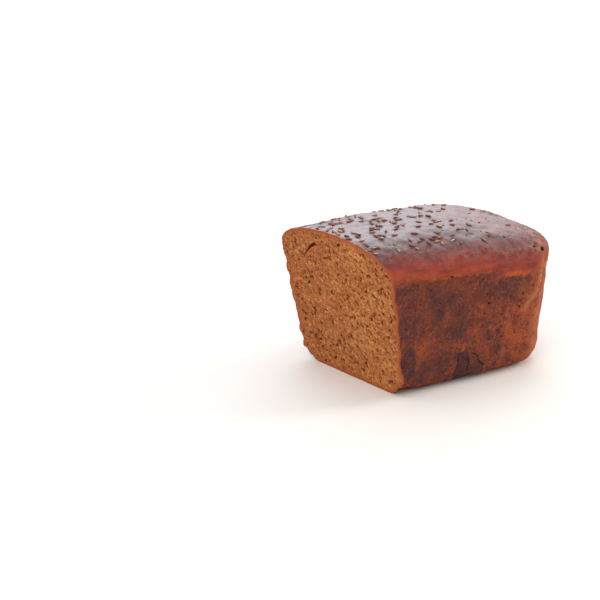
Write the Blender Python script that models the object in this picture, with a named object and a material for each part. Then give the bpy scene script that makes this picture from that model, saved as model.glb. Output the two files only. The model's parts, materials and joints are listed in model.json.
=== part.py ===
"""A tin loaf of dark rye bread, cut across, with the slices taken off the -X end.

Metres, +Z up. The loaf stands on its flat base, its length along X. The tin's end is at +X
and the cut face at -X. The origin is at the middle of the finished loaf's box, on the base.
"""

import math

import bmesh
import bpy
from mathutils import Matrix, Vector, noise

# The tin that shaped the lower part, measured at its rim, which the dough rose past.
TIN_LENGTH = 0.220
TIN_WIDTH = 0.110
RIM_HEIGHT = 0.0733
WALL_TAPER = 0.079  # how far a wall leans in, per metre down from the rim
CORNER_RADIUS = 0.035  # the tin's upright corners, at the rim
BASE_RADIUS = 0.0145  # round between the walls and the base
WALL_HOLLOW = 0.0007  # the walls draw in a little between base and rim as the loaf cools

# The risen top.
CROWN_HEIGHT = 0.0235  # from the rim to the highest point
CROWN_FULLNESS = 2.5  # 2 is an ellipse, more is flatter with rounder shoulders
CROWN_DROP = 0.02  # share of the crown's height that is lost towards the tin's ends

# The knife cut: x = CUT_X + CUT_LEAN * z + CUT_SKEW * y, with x from the tin's end wall.
CUT_X = -0.1284
CUT_LEAN = -0.185
CUT_SKEW = -0.069

# Uneven baking, as soft swells of the crust.
SWELL_DEPTH = 0.0009
SWELL_LENGTH = 0.034

# How finely the surface is built.
CORNER_STEPS = 9
LONG_SIDE_STEPS = 30
END_SIDE_STEPS = 9
BASE_RINGS = 5
WALL_RINGS = 9
CROWN_RINGS = 15

HALF_LENGTH = TIN_LENGTH / 2
HALF_WIDTH = TIN_WIDTH / 2


def clear_scene():
    for obj in list(bpy.data.objects):
        bpy.data.objects.remove(obj)


def finish(name, colour, roughness):
    """A baked surface: a Principled BSDF with this colour and roughness, and no metal."""
    material = bpy.data.materials.new(name)
    material.use_nodes = True
    shader = material.node_tree.nodes["Principled BSDF"]
    shader.inputs["Base Color"].default_value = (*colour, 1.0)
    shader.inputs["Roughness"].default_value = roughness
    shader.inputs["Metallic"].default_value = 0.0
    return material


def tin_outline(inset):
    """The tin's outline seen from above, moved in by inset, as points with rounded corners."""
    length = HALF_LENGTH - inset
    width = HALF_WIDTH - inset
    radius = CORNER_RADIUS - inset
    points = []
    for quarter in range(4):
        side_x = 1 if quarter in (0, 3) else -1
        side_y = 1 if quarter in (0, 1) else -1
        centre = Vector((side_x * (length - radius), side_y * (width - radius), 0))
        for step in range(CORNER_STEPS + 1):
            turn = math.radians(90) * (quarter + step / CORNER_STEPS)
            points.append(centre + radius * Vector((math.cos(turn), math.sin(turn), 0)))
        along_x = quarter in (0, 2)
        straight = length - radius if along_x else width - radius
        steps = LONG_SIDE_STEPS if along_x else END_SIDE_STEPS
        ahead = Vector((-side_x, 0, 0)) if along_x else Vector((0, -side_y, 0))
        for step in range(1, steps):
            points.append(points[-1] + ahead * (2 * straight / steps))
    return points


def wall_inset(height):
    """How far the wall stands in from the rim at this height, with the base's rounding."""
    lean = WALL_TAPER * (RIM_HEIGHT - height)
    hollow = WALL_HOLLOW * math.sin(math.pi * height / RIM_HEIGHT)
    below_round = max(BASE_RADIUS - height, 0)
    rounding = BASE_RADIUS - math.sqrt(BASE_RADIUS**2 - below_round**2)
    return lean + hollow + rounding


def crown_point(rim_point, share):
    """The point on the risen top that is this share of the way from the middle to the rim."""
    turn = math.atan2(rim_point.y / HALF_WIDTH, rim_point.x / HALF_LENGTH)
    oval = Vector((HALF_LENGTH * math.cos(turn), HALF_WIDTH * math.sin(turn), 0))
    point = share * oval.lerp(rim_point, share**2)
    rise = (1 - share**CROWN_FULLNESS) ** (1 / CROWN_FULLNESS)
    drop = 1 - CROWN_DROP * (point.x / HALF_LENGTH) ** 2
    point.z = RIM_HEIGHT + CROWN_HEIGHT * rise * drop
    return point


def loaf_rings():
    """Rings of points from the base's flat edge, up the walls and over the top."""
    heights = [
        BASE_RADIUS * (1 - math.cos(math.radians(90) * step / BASE_RINGS))
        for step in range(BASE_RINGS)
    ]
    wall = RIM_HEIGHT - BASE_RADIUS
    heights += [BASE_RADIUS + wall * step / WALL_RINGS for step in range(WALL_RINGS + 1)]
    rings = [
        [point + Vector((0, 0, height)) for point in tin_outline(wall_inset(height))]
        for height in heights
    ]
    for step in range(1, CROWN_RINGS):
        share = math.cos(math.radians(90) * step / CROWN_RINGS)
        rings.append([crown_point(point, share) for point in tin_outline(0)])
    return rings


def swell(point):
    """The point moved by the crust's soft swells, which fade to nothing at the flat base."""
    away = Vector((point.x / HALF_LENGTH, point.y / HALF_WIDTH, point.z / RIM_HEIGHT - 0.5))
    fade = min(point.z / (2 * BASE_RADIUS), 1)
    push = SWELL_DEPTH * fade * noise.noise(point / SWELL_LENGTH)
    return point + away.normalized() * push


def whole_loaf(crust):
    """The loaf as it left the tin, closed by a flat base and by a fan at the crown's top."""
    mesh = bmesh.new()
    rings = [[mesh.verts.new(swell(point)) for point in ring] for ring in loaf_rings()]
    count = len(rings[0])
    for lower, upper in zip(rings, rings[1:]):
        for index in range(count):
            after = (index + 1) % count
            mesh.faces.new((lower[index], lower[after], upper[after], upper[index]))
    mesh.faces.new(list(reversed(rings[0])))
    top = mesh.verts.new(swell(Vector((0, 0, RIM_HEIGHT + CROWN_HEIGHT))))
    for index in range(count):
        mesh.faces.new((rings[-1][index], rings[-1][(index + 1) % count], top))
    # The tin's +X end wall at the rim becomes x = 0, from which the cut is measured.
    bmesh.ops.translate(mesh, verts=mesh.verts, vec=Vector((-HALF_LENGTH, 0, 0)))
    bmesh.ops.recalc_face_normals(mesh, faces=mesh.faces)
    data = bpy.data.meshes.new("loaf")
    mesh.to_mesh(data)
    mesh.free()
    data.materials.append(crust)
    loaf = bpy.data.objects.new("loaf", data)
    bpy.context.scene.collection.objects.link(loaf)
    return loaf


def slices_taken(crumb):
    """A block over the sliced-off end. Its +X face is the plane that the knife followed."""
    size = 2 * TIN_LENGTH
    mesh = bmesh.new()
    bmesh.ops.create_cube(mesh, size=size)
    bmesh.ops.translate(mesh, verts=mesh.verts, vec=Vector((CUT_X - size / 2, 0, 0)))
    leaning = Matrix.Identity(4)
    leaning[0][1] = CUT_SKEW
    leaning[0][2] = CUT_LEAN
    bmesh.ops.transform(mesh, matrix=leaning, verts=mesh.verts)
    data = bpy.data.meshes.new("slices_taken")
    mesh.to_mesh(data)
    mesh.free()
    data.materials.append(crumb)
    block = bpy.data.objects.new("slices_taken", data)
    block.hide_render = True
    block.display_type = "WIRE"
    bpy.context.scene.collection.objects.link(block)
    return block


def cut_loaf(loaf, block):
    """Cuts the loaf, and shows the crumb's material on the cut face."""
    cut = loaf.modifiers.new("knife_cut", "BOOLEAN")
    cut.operation = "DIFFERENCE"
    cut.solver = "EXACT"
    cut.material_mode = "TRANSFER"
    cut.object = block


def put_origin_under_the_middle(loaf, block):
    """Slides both along X and Y, so that the origin is under the middle of the cut loaf."""
    bpy.context.view_layer.update()
    cut = loaf.evaluated_get(bpy.context.evaluated_depsgraph_get())
    corners = [Vector(corner) for corner in cut.bound_box]
    middle_x = (min(c.x for c in corners) + max(c.x for c in corners)) / 2
    middle_y = (min(c.y for c in corners) + max(c.y for c in corners)) / 2
    for obj in (loaf, block):
        obj.data.transform(Matrix.Translation((-middle_x, -middle_y, 0)))


def main():
    clear_scene()
    crust = finish("crust", (0.19, 0.055, 0.025), 0.45)
    crumb = finish("crumb", (0.42, 0.20, 0.075), 0.85)
    loaf = whole_loaf(crust)
    block = slices_taken(crumb)
    cut_loaf(loaf, block)
    put_origin_under_the_middle(loaf, block)
    loaf.data.shade_smooth()
    loaf.data.set_sharp_from_angle(angle=math.radians(40))


main()
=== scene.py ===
import json
import math
import random

import bpy
import numpy as np
from mathutils import Matrix, Vector, kdtree, noise
from mathutils.bvhtree import BVHTree

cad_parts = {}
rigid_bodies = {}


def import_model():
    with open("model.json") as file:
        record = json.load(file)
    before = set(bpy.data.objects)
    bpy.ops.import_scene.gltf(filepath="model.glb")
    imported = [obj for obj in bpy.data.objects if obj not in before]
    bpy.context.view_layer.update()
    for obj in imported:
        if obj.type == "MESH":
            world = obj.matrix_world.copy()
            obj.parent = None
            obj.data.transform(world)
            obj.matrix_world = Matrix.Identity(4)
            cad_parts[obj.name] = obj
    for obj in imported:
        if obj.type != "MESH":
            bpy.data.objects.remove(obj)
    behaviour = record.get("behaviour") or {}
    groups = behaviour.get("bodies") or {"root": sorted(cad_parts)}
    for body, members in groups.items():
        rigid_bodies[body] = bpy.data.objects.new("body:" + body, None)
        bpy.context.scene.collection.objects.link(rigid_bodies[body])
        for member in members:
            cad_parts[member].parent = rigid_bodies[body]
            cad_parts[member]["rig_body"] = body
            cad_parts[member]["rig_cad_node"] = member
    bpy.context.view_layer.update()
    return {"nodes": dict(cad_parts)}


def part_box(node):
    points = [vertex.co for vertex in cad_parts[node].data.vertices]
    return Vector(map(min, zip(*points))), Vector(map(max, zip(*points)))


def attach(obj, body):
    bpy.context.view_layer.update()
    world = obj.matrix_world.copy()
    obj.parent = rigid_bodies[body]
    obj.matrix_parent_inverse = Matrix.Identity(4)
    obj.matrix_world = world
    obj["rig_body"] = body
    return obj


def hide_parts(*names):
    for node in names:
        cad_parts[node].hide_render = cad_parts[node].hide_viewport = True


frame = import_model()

mm = 0.001
bakedLoaf = frame["nodes"]["loaf"]
loafLow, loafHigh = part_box("loaf")


def pickOnly(*objects):
    bpy.ops.object.select_all(action="DESELECT")
    for thing in objects:
        thing.select_set(True)
    bpy.context.view_layer.objects.active = objects[-1]


def pickFaces(thing, wanted):
    # leaves the object in edit mode with only the wanted faces picked
    pickOnly(thing)
    bpy.ops.object.mode_set(mode="EDIT")
    bpy.ops.mesh.select_mode(type="FACE")
    bpy.ops.mesh.select_all(action="DESELECT")
    bpy.ops.object.mode_set(mode="OBJECT")
    for face in thing.data.polygons:
        face.select = wanted(face)
    bpy.ops.object.mode_set(mode="EDIT")


def finishWith(thing, kind, **settings):
    pickOnly(thing)
    modifier = thing.modifiers.new(kind.title(), kind)
    for name, value in settings.items():
        setattr(modifier, name, value)
    bpy.ops.object.modifier_apply(modifier=modifier.name)


def readPoints(mesh):
    flat = np.empty(len(mesh.vertices) * 3, dtype=np.float32)
    mesh.vertices.foreach_get("co", flat)
    return flat.reshape(-1, 3).astype(float)


def readNormals(mesh):
    flat = np.empty(len(mesh.vertices) * 3, dtype=np.float32)
    mesh.vertex_normals.foreach_get("vector", flat)
    return flat.reshape(-1, 3)


def writePoints(mesh, points):
    mesh.vertices.foreach_set("co", points.astype(np.float32).ravel())
    mesh.update()


def addReading(mesh, name, values):
    # one number per point of the mesh, for the materials
    layer = mesh.attributes.new(name, "FLOAT", "POINT")
    layer.data.foreach_set("value", np.asarray(values, dtype=np.float32))


def noiseAt(points, length, apart=Vector()):
    # smooth noise of this wavelength at each point, or as far apart from it as asked
    return np.array([noise.noise(Vector(point) / length + apart) for point in points])


def easeUp(value, start, end):
    share = np.clip((value - start) / (end - start), 0, 1)
    return share * share * (3 - 2 * share)


def fromHex(code):
    channels = [int(code[i : i + 2], 16) / 255 for i in (1, 3, 5)]
    linear = [c / 12.92 if c <= 0.04045 else ((c + 0.055) / 1.055) ** 2.4 for c in channels]
    return (*linear, 1.0)


def addNode(tree, kind, inputs=None, give=None, ramp=None, **settings):
    # Inputs are numbers, colours as hex, or the output that feeds them. A ramp is a list of
    # (place, colour or grey). Returns the output asked for by name, or else the first one in use.
    made = tree.nodes.new("ShaderNode" + kind)
    for name, value in settings.items():
        setattr(made, name, value)
    for socket, value in (inputs or {}).items():
        if isinstance(value, bpy.types.NodeSocket):
            tree.links.new(value, made.inputs[socket])
        else:
            made.inputs[socket].default_value = fromHex(value) if isinstance(value, str) else value
    for step, (place, shade) in enumerate(ramp or []):
        stops = made.color_ramp.elements
        stop = stops[step] if step < 2 else stops.new(place)
        stop.position = place
        stop.color = fromHex(shade) if isinstance(shade, str) else (shade, shade, shade, 1)
    inUse = [output for output in made.outputs if output.enabled]
    return made.outputs[give] if give else inUse[0]


def newMaterial(name):
    material = bpy.data.materials.new(name)
    material.use_nodes = True
    return material, material.node_tree, material.node_tree.nodes["Principled BSDF"]


def mottle(tree, place, colour, layers, lift=0.0):
    # Lays patches over a colour. Each layer is the patches' size in mm, the noise level where
    # they start and where they are full, how strong they get, how much the lift adds to them,
    # and a shade.
    for number, (size, start, full, strength, lifted, shade) in enumerate(layers):
        patch = addNode(tree, "TexNoise", {
            "Vector": place,
            "W": 3.7 * number + size,  # so that no two layers share a pattern
            "Scale": 1 / (size * mm),
            "Detail": 3.0,
            "Roughness": 0.64,
        }, noise_dimensions="4D")
        patch = addNode(tree, "Math", {0: lift, 1: lifted, 2: patch}, operation="MULTIPLY_ADD")
        share = addNode(tree, "ValToRGB", {0: patch}, ramp=[(start, 0.0), (full, strength)])
        colour = addNode(tree, "Mix", {0: share, 6: colour, 7: shade}, data_type="RGBA")
    return colour


# The camera stands where the loaf's cut face and long side both show.
cameraPlace = {
    "turn": -33.31,  # degrees round the loaf, 0 looks along +Y
    "height": 18.35,  # degrees above the table
    "distance": 1300 * mm,
    "lens": 123.9,  # on a 36 mm sensor
    "aim": (0.9 * mm, 32.5 * mm, 45.3 * mm),  # from the -X end, the middle and the base
}


def setCamera():
    turn, height = math.radians(cameraPlace["turn"]), math.radians(cameraPlace["height"])
    level = math.cos(height)
    back = Vector((math.sin(turn) * level, -math.cos(turn) * level, math.sin(height)))
    aim = Vector(cameraPlace["aim"]) + Vector((loafLow.x, 0, 0))
    lens = bpy.data.cameras.new("studioLens")
    lens.lens = cameraPlace["lens"]
    lens.sensor_width = 36
    lens.clip_start, lens.clip_end = 0.05, 20
    camera = bpy.data.objects.new("studioCamera", lens)
    camera.location = aim + back * cameraPlace["distance"]
    camera.rotation_mode = "QUATERNION"
    camera.rotation_quaternion = (-back).to_track_quat("-Z", "Y")
    bpy.context.scene.collection.objects.link(camera)
    bpy.context.scene.camera = camera


setCamera()
print("camera set")


crust = {
    "cell": 1.2 * mm,  # side of the crust's faces
    "stub": 4 * mm,  # how far the loaf is drawn out past the cut before the knife goes through
    "seatStart": 0.2 * mm,  # relief fades in between these heights, so the loaf sits flat
    "seatEnd": 3.5 * mm,
    "swells": (26 * mm, 1.5 * mm),  # wavelength, and height from dip to top
    "lumps": (9 * mm, 1.0 * mm),
    "grain": (3.6 * mm, 0.34 * mm),
    "edgeBumps": (7 * mm, 1.9 * mm),
    "edgeReach": 12 * mm,  # the edge bumps are on the walls, this near the cut
    "bumpier": 1.7,  # and this much higher on the +Y wall
    # wavelengths and depths where the dough didn't fill the tin's bottom edge
    "baseNicks": ((13 * mm, 3.0 * mm), (5 * mm, 2.2 * mm)),
}

# Creases in the long wall, where the dough folded against the tin. Places are millimetres from
# the tin's end wall and up from the base. Depth and width are in millimetres. Depth is into the
# loaf, and below zero it stands proud.
creases = [
    {"line": [(81.8, 24.0), (84.6, 20.0), (84.2, 15.0), (86.2, 9.0), (85.0, 4.0)],
     "depth": 0.8, "width": 1.5},
    {"line": [(78.6, 18.0), (76.0, 14.5), (76.8, 10.5), (75.0, 6.5)], "depth": 1.1, "width": 0.9},
    {"line": [(74.8, 21.0), (70.0, 18.0), (67.6, 13.0), (62.0, 8.5)], "depth": 1.1, "width": 0.9},
    {"line": [(21.5, 79.0), (22.3, 68.0), (22.6, 58.5), (27.0, 51.0), (33.0, 46.2), (37.0, 38.5)],
     "depth": -0.9, "width": 3.6},
    {"line": [(17.6, 78.0), (18.2, 66.0), (18.6, 57.0), (23.4, 47.0), (30.0, 42.6)],
     "depth": 0.4, "width": 2.8},
    {"line": [(64.8, 63.5), (64.0, 58.0), (62.8, 54.0)], "depth": 0.5, "width": 1.4},
    {"line": [(97.3, 74.4), (95.2, 75.6), (92.7, 75.4)], "depth": 0.6, "width": 1.0},
    {"line": [(62.6, 74.4), (61.7, 69.5)], "depth": 0.6, "width": 1.1},
    {"line": [(43.5, 68.2), (42.7, 65.4)], "depth": 0.5, "width": 1.0},
]

# Dark stains where the crust scorched against the tin: millimetres from the tin's end wall, up
# from the base, half the stain's length and height, how strong it is, and how soft its edge is.
stains = [
    (123.0, 22.0, 6.5, 12.0, 1.0, 0.2),
    (80.4, 12.5, 5.0, 11.5, 1.0, 0.12),
    (71.0, 9.0, 8.5, 7.5, 0.85, 0.4),
    (54.0, 21.0, 3.8, 4.0, 0.8, 0.7),
    (102.0, 24.8, 6.0, 4.5, 0.6, 0.8),
    (45.6, 10.0, 4.6, 5.0, 0.75, 0.7),
    (86.0, 41.0, 11.0, 8.0, 0.85, 0.9),
    (88.0, 52.0, 10.0, 7.0, 0.7, 0.9),
    (104.0, 50.0, 9.0, 9.0, 0.75, 0.9),
    (48.0, 61.0, 17.0, 9.0, 0.7, 0.9),
    (102.0, 60.0, 12.0, 8.0, 0.6, 0.9),
    (114.0, 70.0, 14.0, 5.0, 0.5, 0.9),
    (128.0, 50.0, 8.0, 14.0, 0.5, 0.9),
    (108.0, 15.0, 13.0, 10.0, 0.85, 0.9),
]

# The rim line, where the dough stood clear of the tin, as millimetres from the tin's end wall and
# up from the base. It drops towards the tin's end.
rim = {
    "line": [(0, 70), (25, 67.5), (39, 66.3), (49, 66.5), (64, 72.0), (80, 73.5), (93.7, 75.1),
             (109, 75.6), (118, 77.5), (135, 77)],
    "wander": ((17 * mm, 1.6 * mm), (4.2 * mm, 2.6 * mm)),  # wavelength and reach
    "ledge": 0.5 * mm,  # how far the dough swelled over the rim
    "groove": 0.3 * mm,
}

# Soft dents on the crown, with their sizes and depths in millimetres.
dents = {
    "count": 70,
    "sizes": (2.2, 7.0),
    "depths": (0.15, 0.7),
    "clearEnd": 12 * mm,  # they stop this far from the tin's end
    "halfWidth": 52 * mm,
    "height": 91 * mm,
    "seed": 3,
}


def riseOf(points):
    # how far each point is above the rim line
    fromEnd, up = zip(*rim["line"])
    line = np.interp((loafHigh.x - points[:, 0]) / mm, fromEnd, up) * mm
    for length, reach in rim["wander"]:
        line += reach * noiseAt(points * (1, 1, 0), length)
    return points[:, 2] - line


def readCutPlane():
    # the CAD loaf's cut face is flat: its normal and a point on it
    normal, middle, area = Vector(), Vector(), 0
    for face in bakedLoaf.data.polygons:
        if face.normal.x < -0.9:
            normal += face.normal * face.area
            middle += face.center * face.area
            area += face.area
    return normal.normalized(), middle / area


def nearestOnLine(points, line):
    # how far each (x, z) point is from a polyline, and how far along it the nearest place is
    best = np.full(len(points), 1e9)
    along = np.zeros(len(points))
    runs = list(zip(line, line[1:]))
    for number, (start, end) in enumerate(runs):
        start, end = np.array(start), np.array(end)
        run = end - start
        share = np.clip((points - start) @ run / (run @ run), 0, 1)
        gap = np.linalg.norm(points - start - share[:, None] * run, axis=1)
        closer = gap < best
        best[closer] = gap[closer]
        along[closer] = (number + share[closer]) / len(runs)
    return best, along


def creaseGap(points, crease):
    line = [(loafHigh.x - fromEnd * mm, up * mm) for fromEnd, up in crease["line"]]
    return nearestOnLine(points[:, [0, 2]], line)


def growCrust():
    loaf = bakedLoaf.copy()
    loaf.data = bakedLoaf.data.copy()
    loaf.name = loaf.data.name = "cutRyeLoaf"
    loaf.parent = None
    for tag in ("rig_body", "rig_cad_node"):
        if tag in loaf:
            del loaf[tag]
    loaf.data.materials.clear()
    bpy.context.scene.collection.objects.link(loaf)
    cutNormal, cutMiddle = readCutPlane()
    pickOnly(loaf)
    bpy.ops.object.mode_set(mode="EDIT")
    bpy.ops.mesh.select_all(action="SELECT")
    bpy.ops.mesh.remove_doubles(threshold=0.001 * mm)
    bpy.ops.object.mode_set(mode="OBJECT")
    pickFaces(loaf, lambda face: face.normal.dot(cutNormal) > 0.999)
    bpy.ops.transform.translate(value=(-crust["stub"], 0, 0))
    bpy.ops.object.mode_set(mode="OBJECT")
    cell = crust["cell"] * 1
    finishWith(loaf, "REMESH", mode="VOXEL", voxel_size=cell, adaptivity=0, use_smooth_shade=True)
    finishWith(loaf, "SMOOTH", factor=0.5, iterations=3)
    return loaf, cutNormal, cutMiddle


def raiseRelief(loaf):
    # soft swells, lumps and grain, which fade out towards the flat base
    points = readPoints(loaf.data)
    seat = loaf.vertex_groups.new(name="aboveSeat")
    weights = easeUp(points[:, 2], crust["seatStart"], crust["seatEnd"])
    for index, weight in enumerate(weights):
        seat.add([index], float(weight), "REPLACE")
    for name in ("swells", "lumps", "grain"):
        length, height = crust[name]
        pattern = bpy.data.textures.new(name, "CLOUDS")
        pattern.noise_scale = length
        pattern.noise_depth = 1
        finishWith(loaf, "DISPLACE", texture=pattern, texture_coords="LOCAL", mid_level=0.5,
                   strength=height, vertex_group="aboveSeat")


def rimPush(points, rise):
    # the risen dough stands a little proud of the walls, above a groove
    uneven = noiseAt(points, 14 * mm) * 0.8 + 0.8
    ledge = easeUp(rise, -1.1 * mm, 0.9 * mm) * (1 - easeUp(rise, 2 * mm, 12 * mm))
    groove = np.exp(-(((rise + 1.6 * mm) / (1.1 * mm)) ** 2))
    return rim["ledge"] * uneven * ledge - rim["groove"] * groove


def edgePush(points, normals, rise):
    # the walls are bumpy by the cut, and nicked where they round into the base
    length, height = crust["edgeBumps"]
    behindCut = (np.array(cutMiddle) - points) @ np.array(cutNormal)
    nearCut = 1 - easeUp(behindCut, 0, crust["edgeReach"])
    nearCut *= easeUp(points[:, 2], 2 * mm, 8 * mm) * (1 - easeUp(rise, -12 * mm, 0))
    nearCut *= np.where(points[:, 1] > 0, crust["bumpier"], 1)
    push = height * nearCut * noiseAt(points, length)
    downward = -normals[:, 2]
    underEdge = easeUp(downward, 0.3, 0.7) * (1 - easeUp(downward, 0.98, 0.998))
    for length, depth in crust["baseNicks"]:
        push -= depth * underEdge * np.maximum(noiseAt(points, length), 0)
    return push


def dentPush(points, rise):
    dice = random.Random(dents["seed"])
    push = np.zeros(len(points))
    for _ in range(dents["count"]):
        along = dice.uniform(loafLow.x, loafHigh.x - dents["clearEnd"])
        across = dice.uniform(-dents["halfWidth"], dents["halfWidth"])
        middle = np.array([along, across, dents["height"]])
        size, depth = dice.uniform(*dents["sizes"]) * mm, dice.uniform(*dents["depths"]) * mm
        gap = np.linalg.norm((points - middle) * (1, dice.uniform(1, 1.7), 0.4), axis=1)
        push -= depth * np.exp(-((gap / size) ** 2)) * (rise > 8 * mm)
    return push


def pushCrust(loaf):
    points, normals = readPoints(loaf.data), readNormals(loaf.data)
    rise = riseOf(points)
    push = rimPush(points, rise) + edgePush(points, normals, rise) + dentPush(points, rise)
    writePoints(loaf.data, points + normals * push[:, None])


def pressCreases(loaf):
    # the wall gets smaller faces round each deep crease, and is then pressed in along the lines
    for crease in creases:
        if crease["depth"] <= 1:
            continue

        def nearCrease(face):
            if face.center.y > 0 or face.normal.y > -0.4:
                return False
            gap, _ = creaseGap(np.array([face.center]), crease)
            return bool(gap[0] < 2.2 * crease["width"] * mm)

        pickFaces(loaf, nearCrease)
        bpy.ops.mesh.subdivide(number_cuts=2)
        bpy.ops.object.mode_set(mode="OBJECT")
    points, normals = readPoints(loaf.data), readNormals(loaf.data)
    front = (points[:, 1] < 0) & (normals[:, 1] < -0.35)
    push = np.zeros(len(points))
    for crease in creases:
        gap, along = creaseGap(points, crease)
        profile = np.exp(-((gap / (0.55 * crease["width"] * mm)) ** 2))
        taper = np.minimum(easeUp(along, -0.02, 0.2), 1 - easeUp(along, 0.8, 1.02))
        push -= crease["depth"] * mm * profile * taper * front
    writePoints(loaf.data, points + normals * push[:, None])


loaf, cutNormal, cutMiddle = growCrust()
raiseRelief(loaf)
pushCrust(loaf)
pressCreases(loaf)
print("crust grown:", len(loaf.data.polygons), "faces")


# The crumb. A block with the crumb's relief on its face stands for what the knife took away.
crumb = {
    "cell": 0.475 * mm,
    "width": 116 * mm,
    "below": 3 * mm,  # how far the block reaches below the base and above the crown
    "above": 5 * mm,
    "blockDepth": 16 * mm,
    "inset": 0.35 * mm,  # how far inside the CAD's cut plane the crumb's level is
    "waves": (8 * mm, 0.35 * mm),  # wavelength and height
    "grit": (1.6 * mm, 0.34 * mm),
    "pores": 2200,
    "smallest": 0.36,  # a pore's half width in mm: most are small and a few are large
    "largest": 1.0,
    "crowding": 4,
    "stretch": (0.3, 0.6),  # how much longer than wide small ones get, and large ones on top
    "lean": (55, 60),  # degrees that they lean from level: the middle, and the spread
    "depths": (1.3, 2.3),  # in half widths
    "ragged": (0.9 * mm, 0.32),  # wavelength and strength of their uneven outlines
    "halfSpread": 53 * mm,  # they are strewn this far to each side, and between these heights
    "heights": (1 * mm, 96 * mm),
    "border": 2.3 * mm,  # close under the crust the crumb is dense
    "seed": 41,
}

# Tears in the crumb, as millimetres across from the middle (towards +Y) and up from the base.
tears = [
    {"line": [(19.6, 86.6), (22.0, 86.0), (26.0, 83.4), (30.5, 79.0), (34.5, 74.5)],
     "radii": (1.2, 0.34), "deep": 2.4},
    {"line": [(13.4, 78.4), (10.0, 79.8), (5.4, 79.4)], "radii": (0.5, 0.55), "deep": 1.6},
    {"line": [(-30.6, 13.4), (-33.6, 11.2)], "radii": (1.0, 0.7), "deep": 2.2},
    {"line": [(33.0, 39.8), (30.4, 37.2)], "radii": (0.8, 0.8), "deep": 2.0},
    {"line": [(32.4, 66.2), (30.2, 63.8)], "radii": (0.8, 0.7), "deep": 1.8},
    {"line": [(43.0, 32.6), (41.0, 32.2)], "radii": (0.8, 0.7), "deep": 1.8},
    {"line": [(-9.0, 90.6), (-10.4, 89.8)], "radii": (0.8, 0.8), "deep": 1.5},
]


def surfaceOf(thing):
    bpy.context.view_layer.update()
    return BVHTree.FromObject(thing, bpy.context.evaluated_depsgraph_get())


def openPit(pits, place, where, radii, turn, deep, ragged):
    # a rounded pit in the crumb's height map; where two overlap the deeper one counts
    across, up = place
    reach = max(radii) * 1.5
    window = (np.abs(across - where[0]) < reach) & (np.abs(up - where[1]) < reach)
    if not window.any():
        return
    du, dv = across[window] - where[0], up[window] - where[1]
    long = (du * math.cos(turn) + dv * math.sin(turn)) / radii[0]
    short = (dv * math.cos(turn) - du * math.sin(turn)) / radii[1]
    distance = np.sqrt(long**2 + short**2) * (1 + ragged[window])
    bowl = np.sqrt(np.clip(1 - distance**2, 0, 1))
    pits[window] = np.maximum(pits[window], deep * bowl)


def crumbRelief(across, up, clearOf):
    dice = random.Random(crumb["seed"])
    place = (across, up)
    spots = np.column_stack([across, up, np.zeros(len(across))])
    length, strength = crumb["ragged"]
    ragged = strength * noiseAt(spots, length)
    least, more = crumb["stretch"]
    pits = np.zeros(len(across))
    for _ in range(crumb["pores"]):
        where = (dice.uniform(-crumb["halfSpread"], crumb["halfSpread"]),
                 dice.uniform(*crumb["heights"]))
        share = dice.random() ** crumb["crowding"]
        size = (crumb["smallest"] + (crumb["largest"] - crumb["smallest"]) * share) * mm
        longer = size * (1 + dice.random() * (least + more * share))
        turn = math.radians(dice.gauss(*crumb["lean"]))
        if clearOf(*where) < crumb["border"]:
            continue
        deep = size * dice.uniform(*crumb["depths"])
        openPit(pits, place, where, (longer, size), turn, deep, ragged)
    for tear in tears:
        line = [Vector((a * mm, b * mm)) for a, b in tear["line"]]
        first, last = tear["radii"]
        steps = 7  # pits from one point of the tear to the next
        for number, (start, end) in enumerate(zip(line, line[1:])):
            for step in range(steps):
                spot = start.lerp(end, step / steps)
                share = (number + step / steps) / (len(line) - 1)
                size = (first * (1 - share) + last * share) * mm
                openPit(pits, place, spot, (size, size), 0, tear["deep"] * mm, ragged)
    relief = np.zeros(len(across))
    for name in ("waves", "grit"):
        length, height = crumb[name]
        relief += height * noiseAt(spots, length, apart=Vector((0, 0, 7)))
    return pits + relief


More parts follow.
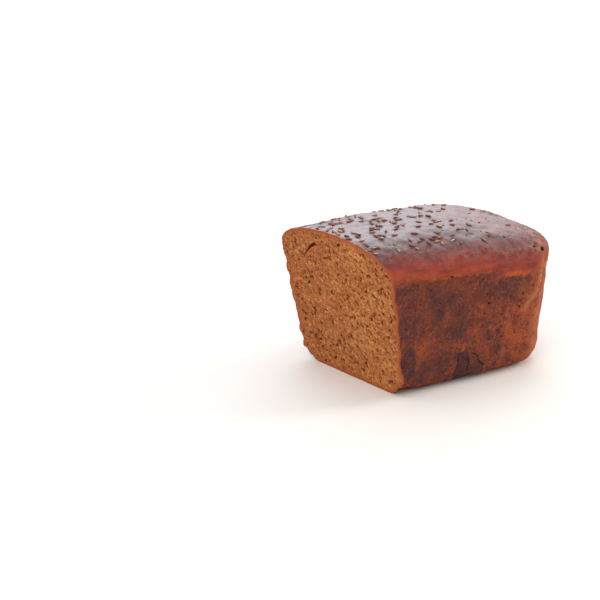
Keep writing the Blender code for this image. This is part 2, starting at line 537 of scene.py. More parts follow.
def makeKnifeBlock(loaf):
    intoLoaf = -cutNormal
    upFace = (Vector((0, 0, 1)) - intoLoaf * intoLoaf.z).normalized()
    acrossFace = upFace.cross(intoLoaf)
    toWorld = Matrix((acrossFace, upFace, intoLoaf)).transposed().to_4x4()
    foot = cutMiddle + intoLoaf * crumb["inset"]
    foot = foot - upFace * (foot.z / upFace.z)  # where the cut meets the base
    foot = foot - acrossFace * (foot.y / acrossFace.y)
    toWorld.translation = foot
    height = (loafHigh.z + crumb["below"] + crumb["above"]) / upFace.z
    cell = crumb["cell"] * 1
    columns, rows = round(crumb["width"] / cell), round(height / cell)
    bpy.ops.object.select_all(action="DESELECT")
    bpy.ops.mesh.primitive_grid_add(x_subdivisions=columns, y_subdivisions=rows, size=1,
                                    location=(0, 0, 0))
    block = bpy.context.object
    block.name = "knifeBlock"
    block.scale = (crumb["width"], height, 1)
    block.location = (0, height / 2 - crumb["below"], 0)
    bpy.ops.object.transform_apply(location=True, rotation=True, scale=True)
    points = readPoints(block.data)
    side = 1 if acrossFace.y > 0 else -1
    surface = surfaceOf(loaf)

    def clearOf(across, up):
        # how far a place on the cut is from the crust
        return surface.find_nearest(toWorld @ Vector((across * side, up, 0)))[3]

    points[:, 2] = crumbRelief(points[:, 0] * side, points[:, 1], clearOf)
    writePoints(block.data, points)
    bpy.ops.object.mode_set(mode="EDIT")
    bpy.ops.mesh.select_mode(type="EDGE")
    bpy.ops.mesh.select_all(action="DESELECT")
    bpy.ops.mesh.select_non_manifold()
    back = (0, 0, -crumb["blockDepth"])
    bpy.ops.mesh.extrude_region_move(TRANSFORM_OT_translate={"value": back})
    bpy.ops.transform.resize(value=(1, 1, 0), center_override=back)
    bpy.ops.mesh.edge_face_add()
    bpy.ops.mesh.select_all(action="SELECT")
    bpy.ops.mesh.normals_make_consistent(inside=False)
    bpy.ops.object.mode_set(mode="OBJECT")
    block.matrix_world = toWorld
    bpy.ops.object.transform_apply(location=True, rotation=True, scale=True)
    return block


# Holes that steam left in the crust: millimetres from the tin's end wall, up from the base, and
# half the hole's length, height and depth. They are in the long wall that faces -Y.
bigHoles = [
    (20.6, 78.8, 2.7, 1.5, 1.6),
    (27.8, 81.6, 1.1, 0.8, 1.0),
    (64.1, 51.6, 0.9, 0.9, 1.1),
    (67.0, 45.3, 0.9, 0.8, 1.0),
    (37.3, 53.9, 0.7, 0.8, 0.9),
    (39.7, 44.9, 0.7, 0.8, 0.9),
    (94.7, 74.6, 0.9, 0.6, 0.9),
    (110.3, 68.6, 0.7, 0.6, 0.8),
]
steam = {"pinholes": 64, "pinSizes": (0.28, 0.55), "seed": 12}
blisters = {"count": 34, "sizes": (0.4, 0.75), "seed": 7}  # burst, on the crown by the tin's end


def placeHole(pieces, spot, normal, halves, turn):
    bpy.ops.mesh.primitive_uv_sphere_add(segments=10, ring_count=6, radius=1, location=(0, 0, 0))
    hole = bpy.context.object
    facing = normal.to_track_quat("Z", "Y").to_matrix().to_4x4() @ Matrix.Rotation(turn, 4, "Z")
    hole.data.transform(Matrix.Translation(spot) @ facing @ Matrix.Diagonal((*halves, 1)))
    pieces.append(hole)


def makeSteamHoles(loaf):
    dice = random.Random(steam["seed"])
    surface = surfaceOf(loaf)
    pieces = []
    for fromEnd, up, halfLong, halfHigh, halfDeep in bigHoles:
        start = Vector((loafHigh.x - fromEnd * mm, loafLow.y - 20 * mm, up * mm))
        spot, normal, _, _ = surface.ray_cast(start, Vector((0, 1, 0)))
        placeHole(pieces, spot, normal, (halfLong * mm, halfHigh * mm, halfDeep * mm), 0)
    while len(pieces) < len(bigHoles) + steam["pinholes"]:
        turn = dice.uniform(0, 2 * math.pi)
        up = dice.uniform(8 * mm, 76 * mm)
        start = Vector((dice.uniform(-50 * mm, 40 * mm), 0, up))
        spot, normal, _, _ = surface.ray_cast(start, Vector((math.cos(turn), math.sin(turn), 0)))
        if spot is None or (spot - cutMiddle).dot(cutNormal) > -3 * mm:
            continue
        size = dice.uniform(*steam["pinSizes"]) * mm
        halves = (size * dice.uniform(1, 1.5), size, size * 1.2)
        placeHole(pieces, spot, normal, halves, dice.uniform(0, 3))
    dice = random.Random(blisters["seed"])
    while len(pieces) < len(bigHoles) + steam["pinholes"] + blisters["count"]:
        x = dice.triangular(-30 * mm, 64 * mm, 45 * mm)
        y = dice.uniform(-46 * mm, 40 * mm)
        spot, normal, _, _ = surface.ray_cast(Vector((x, y, 0.2)), Vector((0, 0, -1)))
        if normal.z > 0.4:
            size = dice.uniform(*blisters["sizes"]) * mm
            halves = (size * dice.uniform(1, 1.7), size, size)
            placeHole(pieces, spot, normal, halves, dice.uniform(0, 3))
    pickOnly(*pieces)
    bpy.ops.object.join()
    return bpy.context.object


block = makeKnifeBlock(loaf)
print("knife block made:", len(block.data.polygons), "faces")


# The crust's colours. Layers are as for mottle, and a ramp's places are noise levels, or shares
# of the way from bandFrom to bandTo.
crustLook = {
    "patterns": {  # the size of each noise, its detail and its roughness
        "cloud": (15 * mm, 3.0, 0.6),
        "smear": (5 * mm, 4.0, 0.65),
        "speck": (1.5 * mm, 3.0, 0.7),
        "fray": (2.6 * mm, 3.0, 0.65),
        "fine": (0.9 * mm, 3.0, 0.6),
        "dimple": (3.4 * mm, 2.0, 0.5),
    },
    "pinholes": 4 * mm,  # apart
    "wall": [(0.34, "#59302b"), (0.5, "#6a3326"), (0.66, "#7c3b26")],
    "wallLayers": [
        (9.0, 0.48, 0.64, 0.50, 0.0, "#4c2d2f"),  # purple-grey clouds
        (7.0, 0.52, 0.72, 0.75, 0.20, "#a24e2c"),  # redder low down and towards the end
        (3.6, 0.50, 0.66, 0.50, 0.0, "#4a2521"),
        (1.9, 0.53, 0.68, 0.60, 0.08, "#aa562f"),  # orange freckles
        (1.2, 0.53, 0.66, 0.60, 0.0, "#371b1a"),
    ],
    "bandFrom": -4.0,  # the band's ramp runs between these heights above the rim line, in mm
    "bandTo": 21.0,
    "band": [(0.08, "#b8592a"), (0.24, "#9e462b"), (0.44, "#8e3b2f"), (0.66, "#7a332d"),
             (0.9, "#5a2827")],
    "bandLayers": [
        (9.0, 0.46, 0.62, 0.65, 0.0, "#6c2b29"),
        (5.0, 0.53, 0.66, 0.26, 0.0, "#b0603f"),
        (2.6, 0.52, 0.66, 0.35, 0.0, "#6b2b24"),
    ],
    "top": [(0.36, "#402827"), (0.5, "#50312c"), (0.66, "#683f36")],
    "topLayers": [
        (12.0, 0.42, 0.84, 0.80, 0.24, "#8f4537"),  # redder towards the end
        (3.0, 0.50, 0.66, 0.45, 0.0, "#3f1e1d"),
    ],
    "shoulder": "#4a2a30",  # the crown's edge near the cut baked darkest
    "corner": "#d89862",  # the tin's upright corners baked paler, and partly a painted highlight
    "stain": "#3d272a",
    # painted shade: dark dots standing for pinholes in the walls
    "pinholeShade": "#2f1613",
    "blister": "#3d1815",
    "seedShadow": "#3a1713",  # painted shadow round each seed
    # painted shade in the creases' cracks
    "creaseShade": "#34181a",
    # painted highlight on the folds that stand proud
    "foldHighlight": "#b87350",
    "sawn": "#aa562d",  # the crust's own thickness, at the knife's edge
}


def makeCrustMaterial():
    # Rye crust baked against a tin: dull and mottled on the walls, orange where the dough first
    # stood clear of the rim, and brushed with a starch glaze on top, which gives a soft wet sheen.
    material, tree, shader = newMaterial("tinBakedRyeCrust")
    place = addNode(tree, "TexCoord", give="Object")
    x = addNode(tree, "SeparateXYZ", {0: place}, give="X")
    z = addNode(tree, "SeparateXYZ", {0: place}, give="Z")
    cloud, smear, speck, fray, fine, dimple = [
        addNode(tree, "TexNoise", {"Vector": place, "Scale": 1 / size, "Detail": detail,
                                   "Roughness": rough})
        for size, detail, rough in crustLook["patterns"].values()
    ]

    # walls, where low parts and the baked end are warmer
    toEnd = addNode(tree, "MapRange", {0: x, 1: loafLow.x + 60 * mm, 2: loafHigh.x},
                    interpolation_type="SMOOTHSTEP")
    low = addNode(tree, "MapRange", {0: z, 1: 60 * mm, 2: 5 * mm, 4: 0.25},
                  interpolation_type="SMOOTHSTEP")
    warm = addNode(tree, "Math", {0: toEnd, 1: low}, operation="ADD")
    wall = addNode(tree, "ValToRGB", {0: cloud}, ramp=crustLook["wall"])
    # the upright corners at the tin's end are paler: partly the crust's own colour, partly a
    # painted highlight
    corner = addNode(tree, "Attribute", give="Fac", attribute_name="corner")
    patchy = addNode(tree, "Math", {0: smear, 1: 2.4, 2: -0.2}, operation="MULTIPLY_ADD")
    pale = addNode(tree, "Math", {0: corner, 1: patchy}, operation="MULTIPLY")
    pale = addNode(tree, "ValToRGB", {0: pale}, ramp=[(0.05, 0.0), (0.95, 0.85)])
    wall = addNode(tree, "Mix", {0: pale, 6: wall, 7: crustLook["corner"]}, data_type="RGBA")
    wall = mottle(tree, place, wall, crustLook["wallLayers"], warm)
    stain = addNode(tree, "Attribute", give="Fac", attribute_name="stain")
    patchy = addNode(tree, "Math", {0: speck, 1: 1.1, 2: smear}, operation="MULTIPLY_ADD")
    patchy = addNode(tree, "MapRange", {0: patchy, 1: 0.75, 2: 1.3, 3: 0.35, 4: 1.1})
    stained = addNode(tree, "Math", {0: stain, 1: patchy}, operation="MULTIPLY", use_clamp=True)
    wall = addNode(tree, "Mix", {0: stained, 6: wall, 7: crustLook["stain"]}, data_type="RGBA")
    pin = addNode(tree, "TexVoronoi", {"Vector": place, "Scale": 1 / crustLook["pinholes"]})
    # painted shade of pinholes: dark dots in clusters on the walls, with a shallow dip in the bump
    pinholeShade = addNode(tree, "Math", {0: smear, 1: -0.5, 2: pin}, operation="MULTIPLY_ADD")
    pinholeShade = addNode(tree, "Math", {0: pinholeShade, 1: 0.25}, operation="ADD")
    pinholeShade = addNode(tree, "ValToRGB", {0: pinholeShade}, ramp=[(0.08, 0.8), (0.18, 0.0)])
    wall = addNode(tree, "Mix", {0: pinholeShade, 6: wall, 7: crustLook["pinholeShade"]}, data_type="RGBA")

    # millimetres above the rim line, frayed
    rise = addNode(tree, "Attribute", give="Fac", attribute_name="rise")
    fray = addNode(tree, "Math", {0: fray, 1: 4.4, 2: -2.2}, operation="MULTIPLY_ADD")
    level = addNode(tree, "Math", {0: rise, 1: fray}, operation="ADD")
    patchyLevel = addNode(tree, "Math", {0: cloud, 1: 10.0, 2: level}, operation="MULTIPLY_ADD")
    patchyLevel = addNode(tree, "Math", {0: patchyLevel, 1: 5.0}, operation="SUBTRACT")

    # above the rim an orange edge, then red-brown, darkening to the glazed crown
    height = addNode(tree, "MapRange", {0: patchyLevel, 1: crustLook["bandFrom"],
                                        2: crustLook["bandTo"]})
    band = addNode(tree, "ValToRGB", {0: height}, ramp=crustLook["band"])
    # its patches are drawn out along the loaf, as the dough rose
    drawnOut = addNode(tree, "Mapping", {"Vector": place, "Scale": (0.45, 0.8, 1.3)})
    band = mottle(tree, drawnOut, band, crustLook["bandLayers"])
    paler = addNode(tree, "Math", {0: pale, 1: 0.15}, operation="MULTIPLY")
    band = addNode(tree, "Mix", {0: paler, 6: band, 7: crustLook["corner"]}, data_type="RGBA")
    nearCut = addNode(tree, "MapRange", {0: x, 1: loafLow.x + 48 * mm, 2: loafLow.x + 12 * mm,
                                         4: 0.42})
    onShoulder = addNode(tree, "ValToRGB", {0: height},
                         ramp=[(0.36, 0.0), (0.56, 1.0), (0.74, 1.0), (0.92, 0.2)])
    onShoulder = addNode(tree, "Math", {0: onShoulder, 1: nearCut}, operation="MULTIPLY")
    top = addNode(tree, "ValToRGB", {0: smear}, ramp=crustLook["top"])
    top = mottle(tree, place, top, crustLook["topLayers"], toEnd)
    blister = addNode(tree, "ValToRGB", {0: pin}, ramp=[(0.09, 1.0), (0.16, 0.0)])
    blister = addNode(tree, "Math", {0: blister, 1: toEnd}, operation="MULTIPLY")
    top = addNode(tree, "Mix", {0: blister, 6: top, 7: crustLook["blister"]}, data_type="RGBA")
    redder = addNode(tree, "Math", {0: toEnd, 1: -7.0, 2: patchyLevel}, operation="MULTIPLY_ADD")
    onTop = addNode(tree, "MapRange", {0: redder, 1: 9.0, 2: 19.0},
                    interpolation_type="SMOOTHSTEP")
    band = addNode(tree, "Mix", {0: onTop, 6: band, 7: top}, data_type="RGBA")
    band = addNode(tree, "Mix", {0: onShoulder, 6: band, 7: crustLook["shoulder"]},
                   data_type="RGBA")

    # the orange edge is crisp along the middle and soft near the cut and at the corner
    along = addNode(tree, "MapRange", {0: x, 1: loafLow.x, 2: loafHigh.x})
    soft = addNode(tree, "ValToRGB", {0: along},
                   ramp=[(0.18, 1.0), (0.30, 0.13), (0.68, 0.13), (0.84, 1.0)])
    soft = addNode(tree, "Math", {0: soft, 1: 3.8}, operation="MULTIPLY")
    edge = addNode(tree, "Math", {0: level, 1: soft}, operation="DIVIDE")
    edge = addNode(tree, "MapRange", {0: edge, 1: -1.0, 2: 1.0}, interpolation_type="SMOOTHSTEP")
    colour = addNode(tree, "Mix", {0: edge, 6: wall, 7: band}, data_type="RGBA")

    # painted shadow round each seed, painted shade in the cracks, a painted highlight on the folds,
    # and pale at the knife's edge
    nearSeed = addNode(tree, "Attribute", give="Fac", attribute_name="seedShade")
    for name, least, most, strength, shade in (("seedShade", 0.15, 0.85, 0.35, "seedShadow"),
                                               ("creaseShade", 0.1, 0.9, 0.85, "creaseShade"),
                                               ("foldHighlight", 0.1, 0.9, 0.5, "foldHighlight")):
        share = addNode(tree, "Attribute", give="Fac", attribute_name=name)
        share = addNode(tree, "ValToRGB", {0: share}, ramp=[(least, 0.0), (most, strength)])
        colour = addNode(tree, "Mix", {0: share, 6: colour, 7: crustLook[shade]}, data_type="RGBA")
    fromCut = addNode(tree, "Attribute", give="Fac", attribute_name="fromCut")
    fromCut = addNode(tree, "Math", {0: speck, 1: 1.2 * mm, 2: fromCut}, operation="MULTIPLY_ADD")
    sawn = addNode(tree, "MapRange", {0: fromCut, 1: 1.7 * mm, 2: 0.5 * mm})
    colour = addNode(tree, "Mix", {0: sawn, 6: colour, 7: crustLook["sawn"]}, data_type="RGBA")

    # the glaze starts in patches on the shoulder, and breaks round seeds and blisters
    glaze = addNode(tree, "MapRange", {0: patchyLevel, 1: 5.0, 2: 18.0},
                    interpolation_type="SMOOTHSTEP")
    patches = addNode(tree, "MapRange", {0: smear, 1: 0.44, 2: 0.55, 3: 0.1, 4: 1.0})
    patches = addNode(tree, "Mix", {0: onTop, 2: patches, 3: 1.0})
    glaze = addNode(tree, "Math", {0: glaze, 1: patches}, operation="MULTIPLY")
    broken = addNode(tree, "Math", {0: nearSeed, 1: blister}, operation="MAXIMUM")
    clear = addNode(tree, "Math", {0: broken, 1: -0.85, 2: 1.0}, operation="MULTIPLY_ADD")
    coat = addNode(tree, "Math", {0: glaze, 1: clear}, operation="MULTIPLY")
    worn = addNode(tree, "MapRange", {0: x, 1: -10 * mm, 2: 60 * mm, 3: 1.0, 4: 0.9})
    coat = addNode(tree, "Math", {0: coat, 1: worn}, operation="MULTIPLY")
    dull = addNode(tree, "MapRange", {0: glaze, 3: 0.8, 4: 0.55})
    rough = addNode(tree, "Math", {0: speck, 1: 0.12, 2: dull}, operation="MULTIPLY_ADD")
    shallow = addNode(tree, "MapRange", {0: glaze, 3: 1.0, 4: 0.15})
    pits = addNode(tree, "Math", {0: blister, 1: 3.0, 2: pinholeShade}, operation="MULTIPLY_ADD")
    grain = addNode(tree, "Math", {0: fine, 1: pits}, operation="SUBTRACT")
    soften = addNode(tree, "MapRange", {0: onTop, 3: 1.0, 4: 0.5})
    dimple = addNode(tree, "Math", {0: dimple, 1: soften}, operation="MULTIPLY")
    grain = addNode(tree, "Math", {0: grain, 1: shallow, 2: dimple}, operation="MULTIPLY_ADD")
    bump = addNode(tree, "Bump", {"Strength": 0.8, "Distance": 0.55 * mm, "Height": grain})
    tree.links.new(colour, shader.inputs["Base Color"])
    tree.links.new(rough, shader.inputs["Roughness"])
    tree.links.new(bump, shader.inputs["Normal"])
    tree.links.new(bump, shader.inputs["Coat Normal"])
    tree.links.new(coat, shader.inputs["Coat Weight"])
    shader.inputs["Coat Roughness"].default_value = 0.42
    shader.inputs["IOR"].default_value = 1.5
    shader.inputs["Specular IOR Level"].default_value = 0.2
    return material


crumbLook = {
    "base": [(0.35, "#a36236"), (0.65, "#bb7b43")],
    "farSide": "#98532e",
    "layers": [
        (2.6, 0.47, 0.59, 0.80, 0.0, "#944b27"),  # clots
        (1.9, 0.54, 0.64, 0.65, 0.0, "#d89f58"),  # pale starch
        (1.5, 0.54, 0.64, 0.65, 0.0, "#7a3c20"),
    ],
    "bran": "#6b331c",
    "underCrust": "#945129",
    "crustEdge": "#a04d24",
    # painted shade deep in the pores
    "poreShade": "#5c2c17",
}


def makeCrumbMaterial():
    # Open rye crumb sawn with a knife: matte, with paler starch and red-brown bran between the
    # pores, painted shade inside them, and browned where it meets the crust.
    material, tree, shader = newMaterial("sawnRyeCrumb")
    place = addNode(tree, "TexCoord", give="Object")
    y = addNode(tree, "SeparateXYZ", {0: place}, give="Y")
    cloud = addNode(tree, "TexNoise", {"Vector": place, "Scale": 1 / (13 * mm), "Detail": 3.0,
                                       "Roughness": 0.6})
    base = addNode(tree, "ValToRGB", {0: cloud}, ramp=crumbLook["base"])
    farSide = addNode(tree, "MapRange", {0: y, 1: -25 * mm, 2: 50 * mm, 4: 0.6},
                      interpolation_type="SMOOTHSTEP")
    base = addNode(tree, "Mix", {0: farSide, 6: base, 7: crumbLook["farSide"]}, data_type="RGBA")
    base = mottle(tree, place, base, crumbLook["layers"])
    flake = addNode(tree, "TexVoronoi", {"Vector": place, "Scale": 1 / (2.1 * mm)})
    bran = addNode(tree, "ValToRGB", {0: flake}, ramp=[(0.10, 0.6), (0.24, 0.0)])
    base = addNode(tree, "Mix", {0: bran, 6: base, 7: crumbLook["bran"]}, data_type="RGBA")

    # browned towards the crust, in an uneven border
    fromCrust = addNode(tree, "Attribute", give="Fac", attribute_name="fromCrust")
    wander = addNode(tree, "TexNoise", {"Vector": place, "Scale": 1 / (4 * mm), "Detail": 3.0})
    wander = addNode(tree, "Math", {0: wander, 1: -2.4 * mm, 2: fromCrust},
                     operation="MULTIPLY_ADD")
    browned = addNode(tree, "MapRange", {0: wander, 1: 4 * mm, 2: -0.5 * mm, 4: 0.6})
    base = addNode(tree, "Mix", {0: browned, 6: base, 7: crumbLook["underCrust"]}, data_type="RGBA")
    browned = addNode(tree, "MapRange", {0: wander, 1: 0.8 * mm, 2: -0.6 * mm, 4: 0.9})
    base = addNode(tree, "Mix", {0: browned, 6: base, 7: crumbLook["crustEdge"]}, data_type="RGBA")

    # how deep a point lies behind the knife's cut, for the painted shade in the pores
    start = (cutMiddle - cutNormal * crumb["inset"]).dot(-cutNormal)
    depth = addNode(tree, "VectorMath", {0: place, 1: tuple(-cutNormal)}, operation="DOT_PRODUCT")
    inside = addNode(tree, "MapRange", {0: depth, 1: start + 0.3 * mm, 2: start + 1.0 * mm,
                                        4: 0.92})
    base = addNode(tree, "Mix", {0: inside, 6: base, 7: crumbLook["poreShade"]}, data_type="RGBA")
    fine = addNode(tree, "TexNoise", {"Vector": place, "Scale": 1 / (0.8 * mm), "Detail": 3.0,
                                      "Roughness": 0.6})
    bump = addNode(tree, "Bump", {"Strength": 0.9, "Distance": 0.4 * mm, "Height": fine})
    tree.links.new(base, shader.inputs["Base Color"])
    tree.links.new(bump, shader.inputs["Normal"])
    shader.inputs["Roughness"].default_value = 0.92
    shader.inputs["Specular IOR Level"].default_value = 0.25
    return material


def makeHoleMaterial():
    # the lining of a steam hole: unglazed crust painted nearly black as shade, so the hole reads as
    # deep
    material, tree, shader = newMaterial("holeShadeLining")
    place = addNode(tree, "TexCoord", give="Object")
    speck = addNode(tree, "TexNoise", {"Vector": place, "Scale": 1 / (1.2 * mm), "Detail": 2.0})
    shade = addNode(tree, "ValToRGB", {0: speck}, ramp=[(0.35, "#2c1511"), (0.7, "#4b241a")])
    tree.links.new(shade, shader.inputs["Base Color"])
    shader.inputs["Roughness"].default_value = 0.9
    return material


seedLook = {
    "husk": [(0.0, "#70473c"), (0.4, "#a07462"), (0.8, "#d0ac92"), (1.0, "#e4ccb2")],
    "layers": [(1.2, 0.48, 0.66, 0.5, 0.0, "#7a4232")],
    "furrow": "#66392f",
}


def makeSeedMaterial():
    # Dried caraway, toasted on the crust: a dull husk with pale ribs and dark furrows between.
    material, tree, shader = newMaterial("toastedCarawayHusk")
    place = addNode(tree, "TexCoord", give="Object")
    tint = addNode(tree, "Attribute", give="Fac", attribute_name="seedTint")
    rib = addNode(tree, "Attribute", give="Fac", attribute_name="seedRib")
    husk = addNode(tree, "ValToRGB", {0: tint}, ramp=seedLook["husk"])
    husk = mottle(tree, place, husk, seedLook["layers"])
    husk = addNode(tree, "Mix", {0: rib, 6: seedLook["furrow"], 7: husk}, data_type="RGBA")
    tree.links.new(husk, shader.inputs["Base Color"])
    shader.inputs["Roughness"].default_value = 0.62
    return material


crustMaterial = makeCrustMaterial()
crumbMaterial = makeCrumbMaterial()
holeMaterial = makeHoleMaterial()
seedMaterial = makeSeedMaterial()
print("materials made")

holes = makeSteamHoles(loaf)
loaf.data.materials.append(crustMaterial)
block.data.materials.append(crumbMaterial)
holes.data.materials.append(holeMaterial)
for cutter in (holes, block):
    finishWith(loaf, "BOOLEAN", object=cutter, operation="DIFFERENCE", solver="EXACT",
               material_mode="TRANSFER")
    bpy.data.objects.remove(cutter)
pickOnly(loaf)
bpy.ops.object.mode_set(mode="EDIT")
bpy.ops.mesh.select_all(action="SELECT")
bpy.ops.mesh.remove_doubles(threshold=0.01 * mm)  # closes the slivers that the cutting leaves
bpy.ops.object.mode_set(mode="OBJECT")
print("loaf cut:", len(loaf.data.polygons), "faces")


# Caraway seeds, strewn on the crown before baking.
seeds = {
    "count": 140,
    "length": 4.1 * mm,
    "width": 1.6 * mm,
    "ribs": 5,
    "furrow": 0.74,  # a furrow's radius, as a share of a rib's
    "curve": math.radians(38),
    "stand": 0.4 * mm,  # how far a seed's middle line stands above the crust
    "apart": 2.4 * mm,
    "drifts": 22 * mm,
    "halfSpread": 47 * mm,  # how far to each side they lie
    "clearEnd": 10 * mm,  # and how far from the tin's end they stop
    "shadowReach": 1.3 * mm,  # the crust gets painted shadow this far from a seed
    "seed": 5,
}


def modelSeed():
    # a ribbed spindle, tapered to its ends and bent a little, lying along X
    bpy.ops.object.select_all(action="DESELECT")
    sides = 2 * seeds["ribs"]
    bpy.ops.mesh.primitive_uv_sphere_add(segments=sides, ring_count=7, radius=0.5,
                                         location=(0, 0, 0))
    seed = bpy.context.object
    seed.name = "carawaySeed"
    ribs = []
    for point in seed.data.vertices:
        turn = math.atan2(point.co.y, point.co.x)
        atTip = abs(point.co.z) > 0.49
        onRib = atTip or round(turn * sides / (2 * math.pi)) % 2 == 0
        ribs.append(1.0 if onRib else 0.0)
        point.select = not onRib
    addReading(seed.data, "seedRib", ribs)
    bpy.ops.object.mode_set(mode="EDIT")
    furrow = seeds["furrow"]
    bpy.ops.transform.resize(value=(furrow, furrow, 1), center_override=(0, 0, 0))
    bpy.ops.mesh.select_all(action="SELECT")
    size = (seeds["width"], seeds["width"], seeds["length"])
    bpy.ops.transform.resize(value=size, center_override=(0, 0, 0))
    bpy.ops.object.mode_set(mode="OBJECT")
    finishWith(seed, "SIMPLE_DEFORM", deform_method="BEND", angle=seeds["curve"], deform_axis="X")
    seed.data.transform(Matrix.Rotation(math.radians(90), 4, "Y"))
    bpy.ops.object.shade_smooth()
    return seed


def strewSeeds(loaf):
    dice = random.Random(seeds["seed"])
    surface = surfaceOf(loaf)
    pattern = modelSeed()
    copies, spots = [], []
    while len(copies) < seeds["count"]:
        x = dice.uniform(loafLow.x, loafHigh.x - seeds["clearEnd"])
        y = dice.uniform(-seeds["halfSpread"], seeds["halfSpread"])
        # they lie in drifts, thin out in two steps towards the tin's end and stop at the shoulders
        drift = noise.noise(Vector((x, y, 0)) / seeds["drifts"]) * 0.6 + 0.55
        fewer = 0.4 * easeUp(x, -48 * mm, -14 * mm) + 0.52 * easeUp(x, -2 * mm, 26 * mm)
        onCrown = 1 - easeUp(abs(y), 38 * mm, seeds["halfSpread"])
        if dice.random() > drift * (1 - fewer) * onCrown:
            continue
        spot, normal, _, _ = surface.ray_cast(Vector((x, y, 0.2)), Vector((0, 0, -1)))
        if spot is None or (spot - cutMiddle).dot(cutNormal) > -1.6 * mm:
            continue
        if any((spot - other).length < seeds["apart"] for other in spots):
            continue
        seed = pattern.copy()
        seed.data = pattern.data.copy()
        bpy.context.scene.collection.objects.link(seed)
        upright = normal.to_track_quat("Z", "X").to_matrix().to_4x4()
        roll = Matrix.Rotation(dice.gauss(0, 0.9), 4, "X")
        size = dice.uniform(0.82, 1.12)
        where = Matrix.Translation(spot + normal * seeds["stand"])
        turn = Matrix.Rotation(dice.uniform(0, math.pi), 4, "Z")
        tilt = Matrix.Rotation(dice.gauss(0, 0.1), 4, "Y")
        seed.data.transform(where @ upright @ turn @ tilt @ roll @ Matrix.Scale(size, 4))
        tint = dice.random()
        addReading(seed.data, "seedTint", [tint] * len(seed.data.vertices))
        copies.append(seed)
        spots.append(spot)
    bpy.data.objects.remove(pattern)
    pickOnly(*copies)
    bpy.ops.object.join()
    strewn = bpy.context.object
    strewn.name = strewn.data.name = "carawaySeeds"
    strewn.data.materials.clear()
    strewn.data.materials.append(seedMaterial)
    return strewn


def gapTo(targets, points, asked, otherwise):
    # how far each point that is asked for lies from the nearest target
    tree = kdtree.KDTree(len(targets))
    for index, point in enumerate(targets):
        tree.insert(point, index)
    tree.balance()
    gaps = np.full(len(points), float(otherwise))
    for index in np.nonzero(asked)[0]:
        gaps[index] = tree.find(points[index])[2]
    return gaps


def readLoaf(loaf, strewn):
    # what the materials read at each point of the loaf
    mesh = loaf.data
    slotOf = np.empty(len(mesh.polygons), dtype=np.int32)
    mesh.polygons.foreach_get("material_index", slotOf)
    crumbSlot = [m.name for m in mesh.materials].index(crumbMaterial.name)
    points = readPoints(mesh)
    inCrumb = np.zeros(len(points), bool)
    inCrust = np.zeros(len(points), bool)
    for face in mesh.polygons:
        (inCrumb if slotOf[face.index] == crumbSlot else inCrust)[list(face.vertices)] = True
    edge = points[inCrumb & inCrust]
    addReading(mesh, "fromCrust", gapTo(edge, points, inCrumb & ~inCrust, 0))
    farthest = 4 * mm
    nearCut = inCrust & (points[:, 0] < edge[:, 0].max() + farthest)
    addReading(mesh, "fromCut", gapTo(edge, points, nearCut, farthest))
    # painted shadow on the crust round each seed
    fromSeed = gapTo(readPoints(strewn.data), points, inCrust & (points[:, 2] > 70 * mm), 1)
    addReading(mesh, "seedShade", 1 - np.minimum(fromSeed / seeds["shadowReach"], 1))
    front = inCrust & (points[:, 1] < -30 * mm)
    # painted shade along the cracks, and a painted highlight along the folds that stand proud
    creaseShade, foldHighlight, stain = np.zeros((3, len(points)))
    for crease in creases:
        gap, along = creaseGap(points, crease)
        line = front * np.exp(-((gap / (0.6 * crease["width"] * mm)) ** 2))
        line *= np.minimum(easeUp(along, -0.02, 0.15), 1 - easeUp(along, 0.85, 1.02))
        shown = creaseShade if crease["depth"] > 0 else foldHighlight
        shown[:] = np.maximum(shown, line * min(abs(crease["depth"]), 1))
    for fromEnd, up, halfLong, halfHigh, strength, softness in stains:
        across = (points[:, 0] - loafHigh.x + fromEnd * mm) / (halfLong * mm)
        above = (points[:, 2] - up * mm) / (halfHigh * mm)
        reach = easeUp(np.hypot(across, above), 1 - softness, 1 + 0.6 * softness)
        stain = np.maximum(stain, front * strength * (1 - reach))
    # how near a point is to the middle of one of the upright corners at the tin's end, which are
    # painted paler, partly their own bake and partly a painted highlight
    tinCorner = 35 * mm
    across = np.abs(points[:, 1]) - (loafHigh.y - tinCorner)
    along = points[:, 0] - (loafHigh.x - tinCorner)
    around = np.sin(2 * np.arctan2(np.maximum(along, 0), np.maximum(across, 1e-6)))
    corner = easeUp(around, 0.35, 0.95) * (across > 0)
    for name, values in (("creaseShade", creaseShade), ("foldHighlight", foldHighlight), ("stain", stain), ("corner", corner),
                         ("rise", riseOf(points) / mm)):
        addReading(mesh, name, values)


strewn = strewSeeds(loaf)
readLoaf(loaf, strewn)
print("seeds strewn:", len(strewn.data.polygons), "faces")

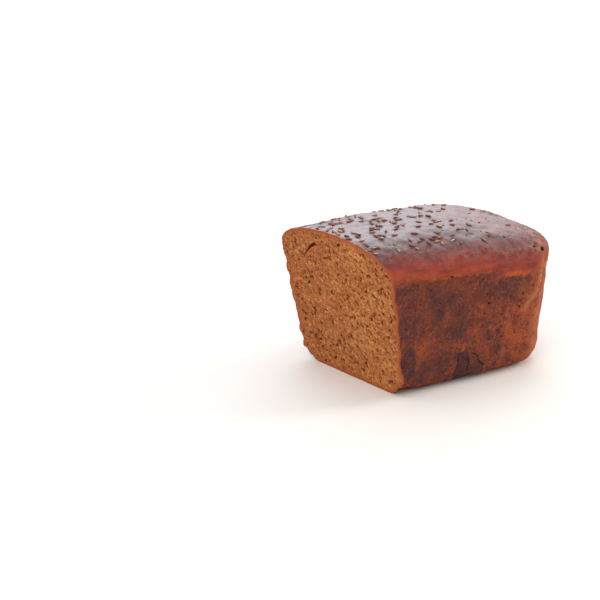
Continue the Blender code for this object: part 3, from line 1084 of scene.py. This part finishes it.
for piece, slot in ((loaf, "crust"), (strewn, "caraway_seed")):
    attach(piece, "root")
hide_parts("loaf")
print("pieces ride on the frame")


studio = {
    "floor": 8.0,  # its side, in metres
    "floorShade": "#f4f3f1",
    "air": ("#ffffff", 0.64),  # the light all round, and its strength
}

# Each lamp is its place and aim in metres, its size in metres, its power in watts and its colour.
lamps = {
    "leftWindow": ((-2.2, -1.6, 1.6), (0, 0, 0.05), 1.6, 37, "#fff6ea"),
    "backSheen": ((1.6, 2.4, 1.9), (-0.03, 0, 0.09), 3.0, 44, "#edf2fb"),
    "backWindow": ((1.5, 2.3, 1.3), (-0.04, 0, 0.09), 0.9, 7.5, "#e2ebfb"),
    "overhead": ((-0.3, 0.3, 2.6), (0, 0, 0), 2.2, 14, "#ffffff"),
    "rightWindow": ((2.6, -0.6, 1.3), (0.03, 0, 0.05), 1.2, 38, "#fff4e6"),
}


def setStudio():
    bpy.ops.mesh.primitive_plane_add(size=studio["floor"], location=(0, 0, -0.15 * mm))
    floor = bpy.context.object
    floor.name = "paleFloor"
    material, _, shader = newMaterial("mattePaleFloor")
    shader.inputs["Base Color"].default_value = fromHex(studio["floorShade"])
    shader.inputs["Roughness"].default_value = 0.9
    floor.data.materials.append(material)
    for name, (place, aim, size, power, colour) in lamps.items():
        light = bpy.data.lights.new(name, "AREA")
        light.shape = "SQUARE"
        light.size = size
        light.energy = power
        light.color = fromHex(colour)[:3]
        lamp = bpy.data.objects.new(name, light)
        lamp.location = place
        lamp.rotation_mode = "QUATERNION"
        lamp.rotation_quaternion = (Vector(aim) - Vector(place)).to_track_quat("-Z", "Y")
        bpy.context.scene.collection.objects.link(lamp)
    colour, strength = studio["air"]
    world = bpy.data.worlds.new("studioAir")
    world.use_nodes = True
    air = world.node_tree.nodes["Background"]
    air.inputs["Color"].default_value = fromHex(colour)
    air.inputs["Strength"].default_value = strength
    bpy.context.scene.world = world
    bpy.context.scene.view_settings.view_transform = "Standard"


setStudio()
print("studio lit")
